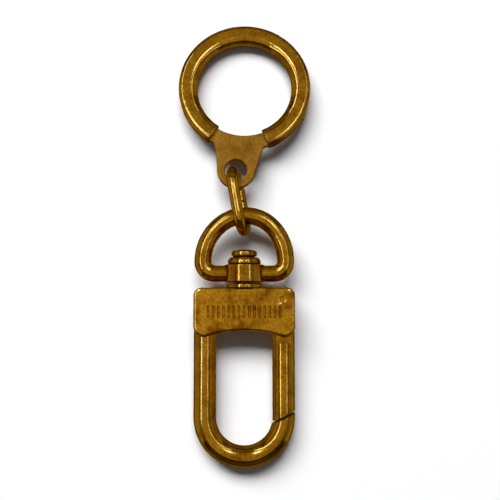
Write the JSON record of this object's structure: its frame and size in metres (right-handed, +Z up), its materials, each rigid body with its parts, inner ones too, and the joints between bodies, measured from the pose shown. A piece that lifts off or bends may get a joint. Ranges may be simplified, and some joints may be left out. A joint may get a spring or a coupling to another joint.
{
  "type": "carabiner keyring",
  "caption": "Brass key holder: snap clasp with a sprung gate, swivelling bow, oval link and a flat-plate key ring that turns open.",
  "frame": {"origin": "middle of the underside of the whole object's box, on the table that it lies on", "axes": "+X across the clasp, gate on the +X side; +Y from the hook's bend to the key ring; +Z up from the table"},
  "size_m": [0.0338, 0.1124, 0.0113],
  "materials": {
    "polished_brass": "polished brass with age: darker patches and fine scratches",
    "worn_plate": "matt worn brass, pitted, more orange than the rest",
    "inner_brass": "plain machined brass, dull",
    "spring_steel": "hard drawn steel, satin"
  },
  "bodies": {
    "clasp": {"housing": "polished_brass", "core_block": "inner_brass", "hook": "polished_brass", "hook_pin": "inner_brass", "gate_pin": "spring_steel", "gate_spring": "spring_steel", "swivel_stud": "polished_brass", "stud_collar": "polished_brass", "dome_washer": "polished_brass"},
    "gate": {"gate": "polished_brass"},
    "plunger": {"gate_plunger": "spring_steel"},
    "swivel": {"swivel_barrel": "polished_brass", "swivel_bow": "polished_brass"},
    "link": {"oval_link": "polished_brass"},
    "plate": {"key_plate": "worn_plate"},
    "ring": {"ring_sleeve": "polished_brass"}
  },
  "joints": [
    {"name": "gate_hinge", "type": "hinge", "parent": "clasp", "child": "gate", "pos_m": [0.00965, -0.01627, 0.0046], "axis": [0, 0.0497, -0.9988], "range_deg": [0, 24], "stiffness_Nm_per_rad": 0.02, "springref_deg": -37.24},
    {"name": "plunger_slide", "type": "slide", "parent": "clasp", "child": "plunger", "axis": [-1, 0, 0], "range_m": [0, 0.0021], "deforming": ["gate_spring"]},
    {"name": "bow_swivel", "type": "hinge", "parent": "clasp", "child": "swivel", "pos_m": [0, -0.00892, 0.00496], "axis": [0, 0.9988, 0.0497], "continuous": true},
    {"name": "link_swing", "type": "hinge", "parent": "swivel", "child": "link", "pos_m": [0, 0.00551, 0.00568], "axis": [1, 0, 0], "range_deg": [-110, 110]},
    {"name": "plate_swing", "type": "hinge", "parent": "link", "child": "plate", "pos_m": [-0.00274, 0.01664, 0.00566], "axis": [0, 0.0732, 0.9973], "range_deg": [-60, 60]},
    {"name": "ring_turn", "type": "hinge", "parent": "plate", "child": "ring", "pos_m": [0, 0.03918, 0.00295], "axis": [0, 0.0732, 0.9973], "continuous": true}
  ],
  "couplings": [
    {"joint": "plunger_slide", "follows": "gate_hinge", "m_per_rad": 0.005}
  ]
}
